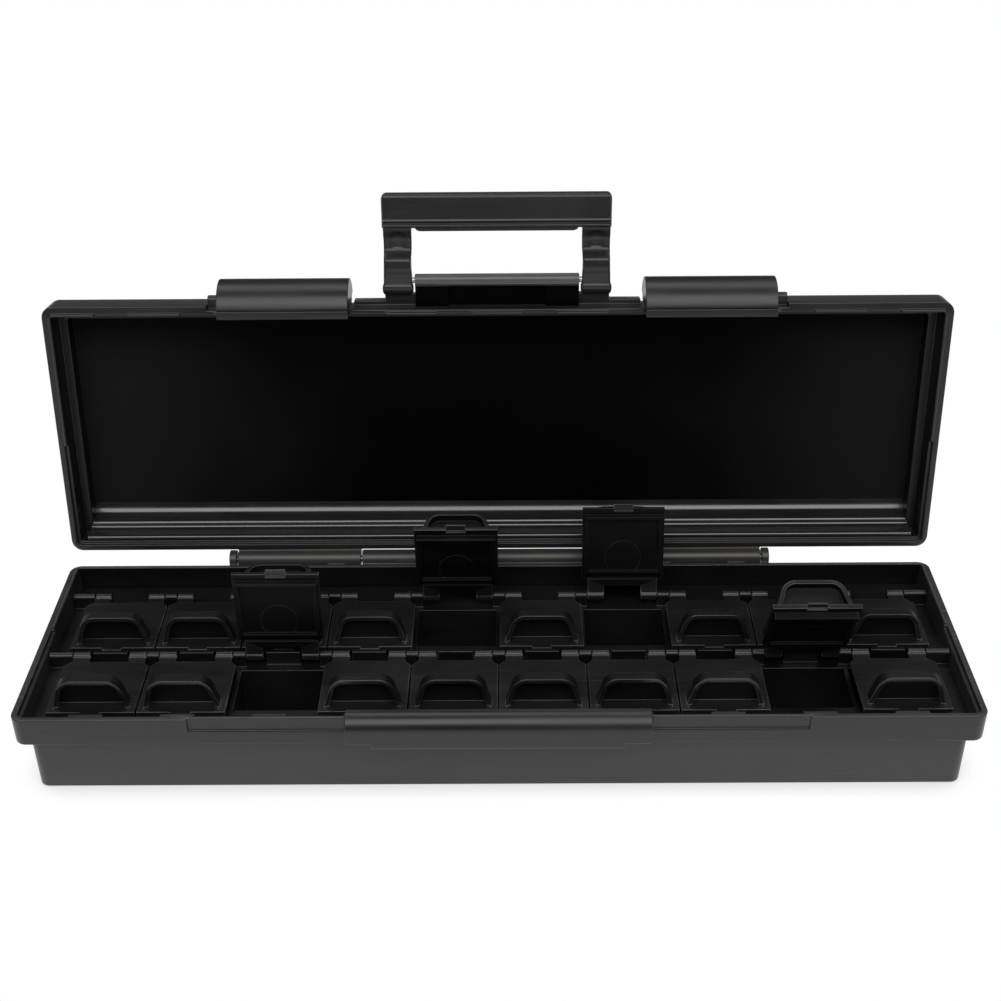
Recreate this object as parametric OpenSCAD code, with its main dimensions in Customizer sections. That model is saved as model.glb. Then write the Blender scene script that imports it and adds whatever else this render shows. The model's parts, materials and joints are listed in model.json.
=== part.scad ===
// Compartment case: a shallow hinged case with two rows of bins, each under its own hinged lid.
// All sizes are in millimetres. X runs along the case, Y from front to back and Z up, and the
// origin is in the middle of the underside. The pieces are drawn with the cover standing open.

/* [Bins] */
// Number of bins in a row
cols = 10; // [4:1:10]
// Distance between the middles of neighbouring bins
col_pitch = 24.8; // [24.6:0.1:26]
// Distance between the hinge lines of the two rows
row_pitch = 29.8; // [29.4:0.1:32]
// Width of the mouth of a bin
pocket_w = 23.4; // [20:0.1:23.6]
// Front to back size of the mouth of a bin
pocket_d = 18.1; // [14:0.1:18.4]
// Shelf behind each mouth, up to the hinge line of the lid
pocket_back = 3.3; // [3.2:0.1:3.6]
// Thickness of the floors and outer walls of the bins
bin_wall = 1.2; // [1:0.1:1.6]
// Thickness of the deck that joins the bins
deck_t = 1.3; // [1:0.1:2]
// Depth of the deck below the rim
deck_drop = 6.2; // [6:0.1:8]
// Width of the hinge posts between the lids
post_w = 3.5; // [3:0.1:3.8]
// Length of the bars in front of the lids of the back row
bar_w = 9.8; // [6:0.1:10.2]
// Thickness of those bars
bar_t = 1.4; // [1:0.1:1.5]
// Radius of the knobs that stop the lids of the back row
stop_r = 0.9; // [0.6:0.1:1.1]
// Gap between the bin strips and the walls around them
strip_gap = 0.15; // [0.05:0.05:0.3]

/* [Lids] */
// Width of a lid
lid_w = 24.4; // [23.6:0.1:24.4]
// Length of a lid from its hinge line to its front edge
lid_len = 27.4; // [26.8:0.1:28]
// Thickness of a lid
lid_t = 1.5; // [1.2:0.05:1.6]
// Height of the top of a lid above its hinge line
lid_rise = 1.2; // [1:0.1:1.3]
// Depth of the top of a closed lid below the rim
lid_drop = 2; // [1.6:0.1:2.6]
// Length of the lowered neck between the hinge line and the panel
neck_len = 4.45; // [4:0.05:5]
// Width of the neck
neck_w = 21; // [20:0.1:21.2]
// Drop of the top of the neck below the panel
neck_drop = 0.7; // [0.4:0.1:0.8]
// Width of the cut-out in the middle of the neck
neck_cut_w = 11; // [10.8:0.1:12]
// Length of the cut-out from the hinge line
neck_cut_len = 3.3; // [3:0.1:3.6]
// Radius of the hinge knuckles and posts
knuckle_r = 1.4; // [1.3:0.05:1.5]
// Length of a knuckle
knuckle_w = 4.7; // [4:0.1:4.8]
// Radius of the pivot stubs on the knuckles
nub_r = 0.8; // [0.6:0.05:0.9]
// Length of a pivot stub
nub_w = 1.7; // [1:0.1:1.8]
// Clearance around every pivot and pin
pivot_gap = 0.06; // [0.03:0.01:0.1]
// Width of the thumb lip on the front edge
tab_w = 5.6; // [4:0.1:8]
// How far the thumb lip stands out
tab_out = 1; // [0.5:0.1:1.4]
// Thickness of the thumb lip
tab_t = 0.6; // [0.4:0.1:0.8]
// Width of the finger hood at its foot
hood_w = 21.2; // [18:0.1:21.6]
// Width of the flat top of the finger hood
hood_top_w = 9.4; // [6:0.1:11]
// Height of the finger hood above the lid
hood_h = 8.8; // [7:0.1:9.2]
// Front to back depth of the finger hood
hood_d = 3.3; // [2.6:0.1:3.4]
// Radius of the shoulders of the finger hood
hood_r = 4.4; // [3:0.1:5]
// Thickness of the rim of the finger hood
hood_t = 1.3; // [1:0.1:1.8]
// Thickness of the back of the finger hood
hood_back_t = 1; // [0.8:0.1:1.4]
// Distance of the finger hood behind the front edge
hood_back = 2.3; // [1.8:0.1:2.8]
// Height of the rib under the front of the lid
rib_h = 2; // [1.2:0.1:2.2]
// Thickness of that rib
rib_t = 1; // [0.8:0.1:1.4]
// Distance of that rib behind the front edge
rib_back = 2.1; // [1.8:0.1:2.6]
// Height of the frame ribs under the sides of the lid
frame_h = 1.1; // [0.6:0.1:1.2]
// Thickness of the frame ribs
frame_t = 1.3; // [0.8:0.1:1.5]
// Distance of the frame ribs from the sides of the lid
frame_in = 0.65; // [0.4:0.05:1]

/* [Base] */
// Height of the base from the underside to the seam
base_h = 26.2; // [24:0.1:40]
// Thickness of the walls and the floor of the base
wall_t = 2; // [1.6:0.1:2.4]
// Thickness of the rim around the seam
rim_t = 2.8; // [2.7:0.1:3.2]
// Gap between the rim and the bins at the sides
side_gap = 5.2; // [4.6:0.1:7]
// Gap between the rim and the lids at the front
front_gap = 3.15; // [2.6:0.05:4]
// Ledge between the last hinge line and the rim at the back
back_ledge = 10.05; // [7:0.05:14]
// Thickness of the step under the rim
step_t = 1; // [0.8:0.1:2]
// How far the walls below the rim stand in at the sides
inset_side = 3; // [2.6:0.1:3.6]
// How far the walls below the rim stand in at the front and the back
inset_front = 3.3; // [2.6:0.1:3.6]
// Radius of the upright corners of the rim
corner_r = 3.4; // [3:0.1:6]
// Radius of the upright corners of the walls below it
body_r = 3; // [2.6:0.1:5]
// Width of the shallow recess in the front wall
recess_w = 168; // [166:1:184]
// Depth of the recess in the front of the base
base_recess_t = 0.8; // [0.4:0.1:0.9]
// Height of the recess in the front of the base
base_recess_h = 4.3; // [3:0.1:5]
// Width of the tongue and of the groove along the seam
lip_w = 1; // [0.8:0.1:1.1]
// Height of the tongue
lip_h = 0.9; // [0.5:0.1:1.2]
// Clearance between the tongue and the groove
lip_gap = 0.2; // [0.1:0.05:0.3]
// Where the tongue changes sides, measured back from the middle
lip_y = 4; // [-10:1:20]
// Width of the teeth left in the groove in front of each bin
tooth_w = 9.4; // [4:0.1:14]

/* [Nose] */
// Width of the round bar on the front of the base
nose_w = 82.2; // [70:0.1:82.6]
// Radius of the bar
nose_r = 4.5; // [4:0.1:4.6]
// Distance of its middle in front of the rim
nose_out = 0.5; // [0.2:0.1:0.8]
// Distance of its middle below the seam
nose_drop = 1.5; // [1.3:0.1:2.4]
// Thickness of its shell
nose_t = 1.7; // [1.2:0.1:2.2]
// Distance of its lower edge below its middle, at the ends
nose_skirt = 3.4; // [2:0.1:5]
// How much lower the middle stretch reaches
nose_lip = 1.5; // [0.5:0.1:2]
// Width of that middle stretch
nose_lip_w = 68.6; // [40:0.1:70]

/* [Cover] */
// Height of the cover above the seam
cover_h = 15; // [14.8:0.1:24]
// Height of the wide part of the cover
cover_skirt_h = 9.4; // [9:0.1:10]
// Depth of the ledge inside the cover
cover_ledge_h = 7.6; // [7:0.1:7.8]
// How far the narrow part of the cover stands in
cover_step = 3.3; // [3:0.1:4]
// Thickness of the panel of the cover
panel_t = 2.1; // [1.6:0.1:2.4]
// Depth of the recess in the front of the cover
cover_recess_t = 1.3; // [0.8:0.1:1.5]
// Height of the recess in the front of the cover, away from the latches
cover_recess_h = 5.6; // [4:0.1:7]
// Opening angle at which the cover rests
cover_open = 100; // [92:1:104]

/* [Cover hinge] */
// Distance of the hinge pin behind the rim
hinge_out = 3.2; // [3.1:0.1:4]
// Radius of the hinge barrels
barrel_r = 2.9; // [2.4:0.1:3]
// Radius of the hinge pin
hinge_pin_r = 1; // [0.8:0.1:1.4]
// Width of the barrel in the middle of the base
mid_barrel_w = 84.4; // [60:0.1:100]
// Length of each barrel of the cover
side_barrel_w = 37.9; // [24:0.1:40]
// Length of each barrel at the ends of the base
end_barrel_w = 2.2; // [2:0.1:8]
// Gap between neighbouring barrels
barrel_gap = 0.5; // [0.2:0.1:1]
// Height of the webs that join the barrels to the walls
web_h = 5; // [3:0.1:7]
// Length of the heels that stop the cover
heel_w = 5; // [3:0.1:10]
// Depth of the heels below the hinge pin
heel_h = 3; // [2:0.1:4]

/* [Latches] */
// Width of a latch
latch_w = 37.3; // [32:0.1:39.6]
// Distance of the inner end of a latch from the middle of the case
latch_x = 42.1; // [41.6:0.1:44]
// Outer radius of the latch shell
latch_r = 8.9; // [8.6:0.1:9.4]
// Thickness of the latch shell
latch_t = 1.6; // [1.2:0.1:1.8]
// Distance of the middle of the shell below the seam
latch_drop = 1.2; // [1:0.1:1.6]
// Distance of the middle of the shell inside the rim
latch_in = 0.9; // [0.7:0.1:1.1]
// Angle of the upper edge of the shell above level
latch_up = 67; // [60:1:70]
// Angle of the lower edge of the shell below level
latch_down = 78; // [74:1:82]
// How far the hook reaches under the rim
hook_reach = 1.6; // [1:0.1:2]
// Clearance between the hook and the rim
hook_gap = 0.25; // [0.2:0.05:0.4]
// Thickness of the hook
hook_t = 1.3; // [1:0.1:1.5]
// Distance of the latch pin in front of the rim
latch_pin_out = 0.9; // [0.8:0.1:1]
// Height of the latch pin above the seam
latch_pin_up = 4.1; // [4:0.1:4.3]
// Radius of the latch pin
latch_pin_r = 0.7; // [0.5:0.05:0.8]
// Radius of the lugs around the latch pin
lug_r = 1.35; // [1.2:0.05:1.4]
// Width of a lug
lug_w = 2.4; // [1.5:0.1:4]
// Distance of the lugs from the ends of the latch
lug_in = 3.6; // [1:0.1:8]
// Sideways gap between lugs that turn on each other
lug_gap = 0.3; // [0.2:0.05:0.6]

/* [Handle] */
// Distance of the handle pin in front of the rim
handle_out = 6.3; // [6.2:0.1:8]
// Height of the handle pin above the seam
handle_up = 4; // [4:0.1:4.4]
// Radius of the handle pin
handle_pin_r = 0.8; // [0.6:0.1:1]
// Radius of the bar that carries the handle pin
handle_barrel_r = 1.8; // [1.6:0.1:2.4]
// Gap between that bar and each arm
handle_side_gap = 0.6; // [0.3:0.1:2]
// Width of each of the two brackets that carry the bar
bracket_w = 9.5; // [5:0.1:12]
// Thickness of those brackets
bracket_t = 2.8; // [2:0.1:3]
// Thickness of the web that fills the space between the brackets
bracket_web_t = 1; // [0.8:0.1:1.5]
// How far the pads above the recess stand out, behind the feet of the handle
pad_out = 1.8; // [1:0.1:1.9]
// Distance from the handle pin back to the heel of each foot
heel_back = 2.7; // [2:0.1:2.9]
// Radius of the heel of each foot
heel_r = 1.5; // [1.1:0.1:1.6]
// Width of the whole handle
handle_w = 65.2; // [58:0.1:66]
// Width of an arm of the handle
arm_w = 8.3; // [6:0.1:9]
// Distance from the handle pin to the far edge of the grip
handle_len = 24.6; // [22:0.1:40]
// Front to back size of the grip
grip_h = 9.2; // [7:0.1:13]
// Thickness of the arms
arm_t = 3; // [2.4:0.1:3.2]
// Thickness of the grip
grip_t = 4; // [3:0.1:4.6]
// Width of the lower lip of the grip
grip_lip_w = 44.4; // [30:0.1:45]
// Height of the lower lip of the grip
grip_lip_h = 1.2; // [0.6:0.1:2]

/* [Hidden] */
$fn = 48;
rows = 2;
over = 0.5;
end_gap = 0.25;
arm_turn_in = 6;
shell_colour = "#454347";
bin_colour = "#2b292c";
lid_colour = "#333134";
steel_colour = "#a9a9ad";
case_w = cols * col_pitch + 2 * (side_gap + rim_t);
case_d = 2 * rim_t + front_gap + lid_len + row_pitch * (rows - 1) + back_ledge;
front_y = -case_d / 2;
back_y = case_d / 2;
inner_w = case_w - 2 * rim_t;
inner_d = case_d - 2 * rim_t;
inner_r = corner_r - rim_t;
body_w = case_w - 2 * inset_side;
body_d = case_d - 2 * inset_front;
deck_z = base_h - deck_drop;
ledge_z = deck_z - deck_t;
skirt_z = ledge_z - step_t;
lid_z = base_h - lid_drop - lid_rise;
first_hinge_y = front_y + rim_t + front_gap + lid_len;
strip_w = inner_w - 2 * strip_gap;
strip_seam_y = first_hinge_y + (row_pitch - lid_len) - over * strip_gap;
bar_y = first_hinge_y + row_pitch - lid_len - tab_out - end_gap;
hinge_y = back_y + hinge_out;
half_barrels = mid_barrel_w / 2 + barrel_gap;
pin_half = half_barrels + side_barrel_w + barrel_gap + end_barrel_w;
nose_y = front_y - nose_out;
nose_z = base_h - nose_drop;
cover_face_y = front_y + cover_recess_t;
latch_y = front_y + latch_in;
latch_z = base_h - latch_drop;
latch_pin_y = front_y - latch_pin_out;
latch_pin_z = base_h + latch_pin_up;
handle_y = front_y - handle_out;
handle_z = base_h + handle_up;
handle_barrel_w = handle_w - 2 * (arm_w + handle_side_gap);
rest_angles = [[0, 0, 92, 0, 0, 0, 0, 0, 63, 0], [0, 0, 0, 0, 79, 0, 105, 0, 0, 0]];

function col_x(i) = (i - (cols + 1) / 2) * col_pitch;
function row_y(row) = first_hinge_y + row * row_pitch;

// A rectangle with round corners, centred on the origin.
module round_rect(w, d, r) {
    square([w - 2 * r, d], center = true);
    square([w, d - 2 * r], center = true);
    for (x = [-1, 1], y = [-1, 1])
        translate([x * (w / 2 - r), y * (d / 2 - r)]) circle(r = r);
}

module round_box(w, d, r, z0, z1) {
    translate([0, 0, z0]) linear_extrude(z1 - z0) round_rect(w, d, r);
}

// A plain block between two corners.
module block(low, high) {
    translate(low) cube(high - low);
}

// Draws a section, given in Y and Z, from x0 to x1.
module along_x(x0, x1) {
    translate([x0, 0, 0]) rotate([90, 0, 90]) linear_extrude(x1 - x0) children();
}

// A round bar along X.
module bar_x(x0, x1, y, z, r) {
    along_x(x0, x1) translate([y, z]) circle(r = r);
}

module both_sides() {
    children();
    mirror([1, 0, 0]) children();
}

// Swings pieces drawn on the closed cover to where the open cover holds them.
module on_open_cover(angle = cover_open) {
    translate([0, hinge_y, base_h]) rotate([-angle, 0, 0]) translate([0, -hinge_y, -base_h])
        children();
}

// ---- base ----

module base_walls() {
    difference() {
        union() {
            round_box(body_w, body_d, body_r, 0, ledge_z);
            round_box(case_w, case_d, corner_r, skirt_z, base_h);
        }
        round_box(body_w - 2 * wall_t, body_d - 2 * wall_t, body_r - wall_t, wall_t, base_h + over);
        round_box(inner_w, inner_d, inner_r, ledge_z, base_h + over);
        base_groove();
        block([-recess_w / 2, front_y - over, base_h - base_recess_h],
            [recess_w / 2, front_y + base_recess_t, base_h + over]);
    }
}

// The groove in the front half of the rim, with a tooth left in it in front of each bin.
module base_groove() {
    difference() {
        round_box(inner_w + 2 * lip_w, inner_d + 2 * lip_w, inner_r + lip_w,
            base_h - lip_h - lip_gap, base_h + over);
        block([-case_w, lip_y, 0], [case_w, case_d, 2 * base_h]);
        for (i = [1:cols])
            block([col_x(i) - tooth_w / 2, front_y, 0],
                [col_x(i) + tooth_w / 2, front_y + rim_t, 2 * base_h]);
    }
}

// A tongue along the inner edge of the rim, on one side of lip_y.
module tongue(z0, z1, y0, y1) {
    width = lip_w - lip_gap;
    intersection() {
        difference() {
            round_box(inner_w + 2 * width, inner_d + 2 * width, inner_r + width, z0, z1);
            round_box(inner_w, inner_d, inner_r, z0 - over, z1 + over);
        }
        block([-case_w, y0, z0], [case_w, y1, z1]);
    }
}

// The round bar on the front, open at the back and below.
module nose() {
    inner_nose_r = nose_r - nose_t;
    skirt = [nose_skirt, nose_skirt + nose_lip];
    span = [nose_w, nose_lip_w];
    for (k = [0, 1])
        along_x(-span[k] / 2, span[k] / 2) difference() {
            union() {
                translate([nose_y, nose_z]) circle(r = nose_r);
                translate([nose_y - nose_r, nose_z - skirt[k]]) square([nose_r, skirt[k]]);
            }
            translate([nose_y, nose_z]) circle(r = inner_nose_r);
            translate([nose_y - inner_nose_r, nose_z - 2 * nose_r]) square([2 * nose_r, 2 * nose_r]);
            translate([nose_y - 2 * nose_r, nose_z - skirt[k] - 2 * nose_r])
                square([4 * nose_r, 2 * nose_r]);
            translate([cover_face_y - hook_gap - lug_gap / 2, base_h])
                square([2 * nose_r, 2 * nose_r]);
            translate([front_y + rim_t - lip_w, base_h - 2 * nose_r]) square(2 * nose_r);
        }
}

// The webs under the nose, which join it to the front wall.
module nose_webs() {
    count = 4;
    for (k = [0:count])
        translate([(k / count - 0.5) * (nose_w - nose_t), 0, 0]) along_x(-nose_t / 2, nose_t / 2)
            intersection() {
                translate([nose_y, nose_z]) circle(r = nose_r);
                translate([front_y - nose_r - nose_out, nose_z - nose_skirt])
                    square([nose_r + nose_out + base_recess_t + over, nose_skirt + nose_drop]);
            }
}

module base_hinge(x0, x1) {
    difference() {
        union() {
            bar_x(x0, x1, hinge_y, base_h, barrel_r);
            block([x0, back_y - over, base_h - web_h], [x1, hinge_y, base_h]);
        }
        bar_x(x0 - over, x1 + over, hinge_y, base_h, hinge_pin_r + pivot_gap);
    }
}

module base_shell() {
    color(shell_colour) {
        base_walls();
        tongue(base_h - over, base_h + lip_h, lip_y + lip_gap, case_d);
        nose();
        nose_webs();
        base_hinge(-mid_barrel_w / 2, mid_barrel_w / 2);
        both_sides() base_hinge(pin_half - end_barrel_w, pin_half);
    }
}

module hinge_pin() {
    color(steel_colour) bar_x(-pin_half + end_gap, pin_half - end_gap, hinge_y, base_h, hinge_pin_r);
}

// ---- bins ----

// One row of bins under a common deck, with the posts that carry the lids.
module bin_strip(row, y0, y1) {
    axis_y = row_y(row);
    mouth_y = axis_y - pocket_back - pocket_d;
    floor_z = wall_t + end_gap;
    block_half = (cols * col_pitch) / 2 - (col_pitch - pocket_w) / 2 + bin_wall;
    difference() {
        union() {
            intersection() {
                round_box(strip_w, inner_d - 2 * strip_gap, inner_r, ledge_z, deck_z);
                block([-case_w, y0, 0], [case_w, y1, base_h]);
            }
            block([-block_half, mouth_y - bin_wall, floor_z],
                [block_half, mouth_y + pocket_d + bin_wall, deck_z]);
        }
        for (i = [1:cols])
            block([col_x(i) - pocket_w / 2, mouth_y, floor_z + bin_wall],
                [col_x(i) + pocket_w / 2, mouth_y + pocket_d, deck_z + over]);
    }
    for (i = [0:cols]) hinge_post(i, axis_y);
}

// A round-topped post on the line between two columns. The outer ones reach the rim.
module hinge_post(i, axis_y) {
    x = col_x(i + 0.5);
    x0 = i == 0 ? -strip_w / 2 : x - post_w / 2;
    x1 = i == cols ? strip_w / 2 : x + post_w / 2;
    bore_x = x - post_w / 2 - over;
    difference() {
        union() {
            bar_x(x0, x1, axis_y, lid_z, knuckle_r);
            block([x0, axis_y - knuckle_r, deck_z - over], [x1, axis_y + knuckle_r, lid_z]);
        }
        if (i == 0) bar_x(x, x + post_w, axis_y, lid_z, nub_r + pivot_gap);
        else if (i == cols) bar_x(x - post_w, x, axis_y, lid_z, nub_r + pivot_gap);
        else bar_x(bore_x, bore_x + post_w + 2 * over, axis_y, lid_z, nub_r + pivot_gap);
    }
}

module front_bins() {
    color(bin_colour) {
        bin_strip(0, -case_d, strip_seam_y);
        for (i = [1:cols])
            block([col_x(i) - bar_w / 2, bar_y - bar_t, deck_z - over],
                [col_x(i) + bar_w / 2, bar_y, base_h - lid_drop]);
    }
}

module back_bins() {
    axis_y = row_y(1);
    knuckle_x = neck_cut_w / 2 + knuckle_w / 2;
    color(bin_colour) {
        bin_strip(1, strip_seam_y + strip_gap, case_d);
        for (i = [1:cols], side = [-1, 1])
            translate([col_x(i) + side * knuckle_x, axis_y + knuckle_r + stop_r, deck_z - over])
                cylinder(r = stop_r, h = over + knuckle_r);
    }
}

// ---- lids ----

// The arch of the finger hood, seen from the front, standing on z = 0. Each side runs straight
// from its foot until it touches the circle of the shoulder.
module hood_arch(foot, top, h, r) {
    rise = h - r;
    run = (foot - top) / 2;
    side = sqrt(run * run + rise * rise - r * r);
    lean = atan2(rise, -run) - asin(r / norm([run, rise]));
    touch = [foot / 2 + side * cos(lean), side * sin(lean)];
    polygon([[-foot / 2, 0], [foot / 2, 0], touch, [top / 2, h], [-top / 2, h], [-touch.x, touch.y]]);
    for (side = [-1, 1]) translate([side * top / 2, rise]) circle(r = r);
}

// Draws a section, given in X and Z, from y0 to y1.
module along_y(y0, y1) {
    translate([0, y1, 0]) rotate([90, 0, 0]) linear_extrude(y1 - y0) children();
}

module finger_hood() {
    y0 = hood_back - lid_len;
    translate([0, 0, lid_rise]) difference() {
        union() {
            along_y(y0, y0 + hood_d) hood_arch(hood_w, hood_top_w, hood_h, hood_r);
            block([-hood_w / 2, y0, -lid_t / 2], [hood_w / 2, y0 + hood_d, over]);
        }
        along_y(y0 - over, y0 + hood_d - hood_back_t)
            hood_arch(hood_w - 2 * hood_t, hood_top_w, hood_h - hood_t, hood_r - hood_t);
    }
}

// A closed lid with its hinge line on the X axis and its front edge towards -Y.
module lid_shape() {
    under = lid_rise - lid_t;
    half = lid_w / 2;
    neck = neck_w / 2;
    cut = half - neck;
    knuckle_x = neck_cut_w / 2 + (neck_w - neck_cut_w) / 4;
    difference() {
        translate([0, 0, under]) linear_extrude(lid_t)
            polygon([[-neck, -neck_len], [-half, -neck_len - cut], [-half, -lid_len],
                [half, -lid_len], [half, -neck_len - cut], [neck, -neck_len]]);
        block([-tab_w / 2, -lid_len - over, under - over],
            [tab_w / 2, -lid_len + tab_out, lid_rise - tab_t]);
    }
    block([-tab_w / 2, -lid_len - tab_out, lid_rise - tab_t],
        [tab_w / 2, -lid_len + tab_out, lid_rise]);
    difference() {
        block([-neck, -neck_len - rib_t, under - frame_h / 2], [neck, 0, lid_rise - neck_drop]);
        block([-neck_cut_w / 2, -neck_cut_len, -2 * lid_t], [neck_cut_w / 2, over, 2 * lid_t]);
    }
    both_sides() {
        bar_x(knuckle_x - knuckle_w / 2, knuckle_x + knuckle_w / 2, 0, 0, knuckle_r);
        bar_x(knuckle_x, knuckle_x + knuckle_w / 2 + nub_w, 0, 0, nub_r);
        block([half - frame_in - frame_t, -lid_len + rib_back, under - frame_h],
            [half - frame_in, -neck_len - cut - rib_t, under + over]);
    }
    block([-half + frame_in, -lid_len + rib_back, under - rib_h],
        [half - frame_in, -lid_len + rib_back + rib_t, under + over]);
    block([-half + frame_in, -neck_len - cut - 2 * rib_t, under - frame_h],
        [half - frame_in, -neck_len - cut - rib_t, under + over]);
    finger_hood();
}

module lid(row, i) {
    color(lid_colour) translate([col_x(i), row_y(row), lid_z])
        rotate([-rest_angles[row][i - 1], 0, 0]) lid_shape();
}

// ---- cover ----

module cover_walls() {
    narrow_w = case_w - 2 * cover_step;
    narrow_d = case_d - 2 * cover_step;
    difference() {
        union() {
            round_box(case_w, case_d, corner_r, base_h, base_h + cover_skirt_h);
            round_box(narrow_w, narrow_d, body_r, base_h, base_h + cover_h);
        }
        round_box(inner_w, inner_d, inner_r, base_h - over, base_h + cover_ledge_h);
        round_box(narrow_w - 2 * wall_t, narrow_d - 2 * wall_t, body_r - wall_t, base_h,
            base_h + cover_h - panel_t);
        block([-recess_w / 2, front_y - over, base_h - over],
            [recess_w / 2, cover_face_y, base_h + cover_recess_h]);
        both_sides() block([latch_x - lug_gap, front_y - over, base_h - over],
            [latch_x + latch_w + lug_gap, cover_face_y, base_h + cover_skirt_h + over]);
        intersection() {
            round_box(inner_w + 2 * lip_w, inner_d + 2 * lip_w, inner_r + lip_w,
                base_h - over, base_h + lip_h + lip_gap);
            block([-case_w, lip_y, 0], [case_w, case_d, 2 * base_h]);
        }
    }
}

// The tongue of the cover, notched for the teeth of the base.
module cover_tongue() {
    difference() {
        tongue(base_h - lip_h, base_h + over, -case_d, lip_y - lip_gap);
        for (i = [1:cols])
            block([col_x(i) - tooth_w / 2 - lip_gap, -case_d, 0],
                [col_x(i) + tooth_w / 2 + lip_gap, front_y + 2 * rim_t, base_h]);
    }
}

module cover_barrel() {
    x0 = half_barrels;
    x1 = half_barrels + side_barrel_w;
    difference() {
        union() {
            bar_x(x0, x1, hinge_y, base_h, barrel_r);
            block([x0, back_y - over, base_h], [x1, hinge_y, base_h + web_h]);
            for (x = [x0 + heel_w, x1 - 2 * heel_w]) cover_heel(x);
        }
        bar_x(x0 - over, x1 + over, hinge_y, base_h, hinge_pin_r + pivot_gap);
    }
}

// A heel on the barrel. It meets the back of the base when the cover is fully open.
module cover_heel(x) {
    reach = hinge_out - pivot_gap;
    on_open_cover(-cover_open) block([x, hinge_y - reach, base_h - heel_h],
        [x + heel_w, hinge_y, base_h]);
}

// The lugs that carry a latch pin: two inside the latch and one beyond its outer end.
module latch_lugs() {
    places = lug_places();
    outer_end = latch_x + latch_w + lug_gap;
    latch_lug(places[0], places[0] + lug_w);
    latch_lug(places[1], places[1] + lug_w);
    latch_lug(outer_end, max(recess_w / 2, outer_end + lug_w / 2));
}

module latch_lug(x0, x1) {
    difference() {
        union() {
            bar_x(x0, x1, latch_pin_y, latch_pin_z, lug_r);
            block([x0, latch_pin_y, latch_pin_z - lug_r], [x1, cover_face_y + over, latch_pin_z + lug_r]);
        }
        bar_x(x0 - over, x1 + over, latch_pin_y, latch_pin_z, latch_pin_r + pivot_gap);
    }
}

function lug_places() = [latch_x + lug_in, latch_x + latch_w - lug_in - lug_w];

// The bar that carries the handle, on two brackets.
module handle_mount() {
    half = handle_barrel_w / 2;
    difference() {
        union() {
            bar_x(-half, half, handle_y, handle_z, handle_barrel_r);
            both_sides() block([half - bracket_w, handle_y, handle_z + handle_barrel_r - bracket_t],
                [half, cover_face_y + over, handle_z + handle_barrel_r]);
            block([-half, handle_y, handle_z + handle_barrel_r - bracket_web_t],
                [half, cover_face_y + over, handle_z + handle_barrel_r]);
            both_sides() block([half - bracket_w, front_y - pad_out, base_h + cover_recess_h],
                [handle_w / 2, cover_face_y + over, base_h + cover_skirt_h - over]);
        }
        bar_x(-half - over, half + over, handle_y, handle_z, handle_pin_r + pivot_gap);
    }
}

module cover() {
    color(shell_colour) on_open_cover() {
        cover_walls();
        cover_tongue();
        both_sides() cover_barrel();
        both_sides() latch_lugs();
        handle_mount();
    }
}

// ---- latches ----

module latch_shell() {
    difference() {
        translate([latch_y, latch_z]) circle(r = latch_r, $fn = 96);
        translate([latch_y, latch_z]) circle(r = latch_r - latch_t, $fn = 96);
        translate([latch_y, latch_z]) wedge(180 - latch_up, 180 + latch_down - 360);
    }
}

// The side of the circle that is left open, from angle b up to angle a.
module wedge(a, b) {
    far = 2 * latch_r;
    polygon([[0, 0], far * [cos(a), sin(a)], far * [0, 1.5], far * [1.5, 1.5], far * [1.5, -1.5],
        far * [0, -1.5], far * [cos(b), sin(b)]]);
}

// The hook that reaches under the rim, joined to the lower edge of the shell.
module latch_hook() {
    hook_z = skirt_z - hook_gap - hook_t;
    translate([latch_y - (latch_r - latch_t / 2) * cos(latch_down), hook_z])
        square([front_y + hook_reach - latch_y + (latch_r - latch_t / 2) * cos(latch_down), hook_t]);
}

// An arm from the pin to the upper end of the shell, beside a lug.
module latch_arm() {
    end_angle = 180 - latch_up + arm_turn_in;
    shell_mid = latch_r - latch_t / 2;
    reach = [latch_y + shell_mid * cos(end_angle) - latch_pin_y,
        latch_z + shell_mid * sin(end_angle) - latch_pin_z];
    translate([latch_pin_y, latch_pin_z]) {
        circle(r = lug_r);
        rotate(atan2(reach.y, reach.x)) translate([0, -lug_r]) square([norm(reach), 2 * lug_r]);
    }
}

module latch() {
    places = lug_places();
    difference() {
        union() {
            along_x(latch_x, latch_x + latch_w) {
                latch_shell();
                latch_hook();
            }
            for (x = [places[0] + lug_w + lug_gap, places[1] - lug_gap - lug_w])
                along_x(x, x + lug_w) latch_arm();
        }
        bar_x(latch_x, latch_x + latch_w, latch_pin_y, latch_pin_z, latch_pin_r + pivot_gap);
    }
}

module latch_pin() {
    places = lug_places();
    color(steel_colour) on_open_cover()
        bar_x(places[0] - lug_gap, latch_x + latch_w + lug_gap + lug_w / 2 - end_gap,
            latch_pin_y, latch_pin_z, latch_pin_r);
}

module latch_right() {
    color(shell_colour) on_open_cover() latch();
}

module latch_left() {
    mirror([1, 0, 0]) latch_right();
}

module latch_pin_right() {
    latch_pin();
}

module latch_pin_left() {
    mirror([1, 0, 0]) latch_pin();
}

// ---- handle ----

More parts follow.
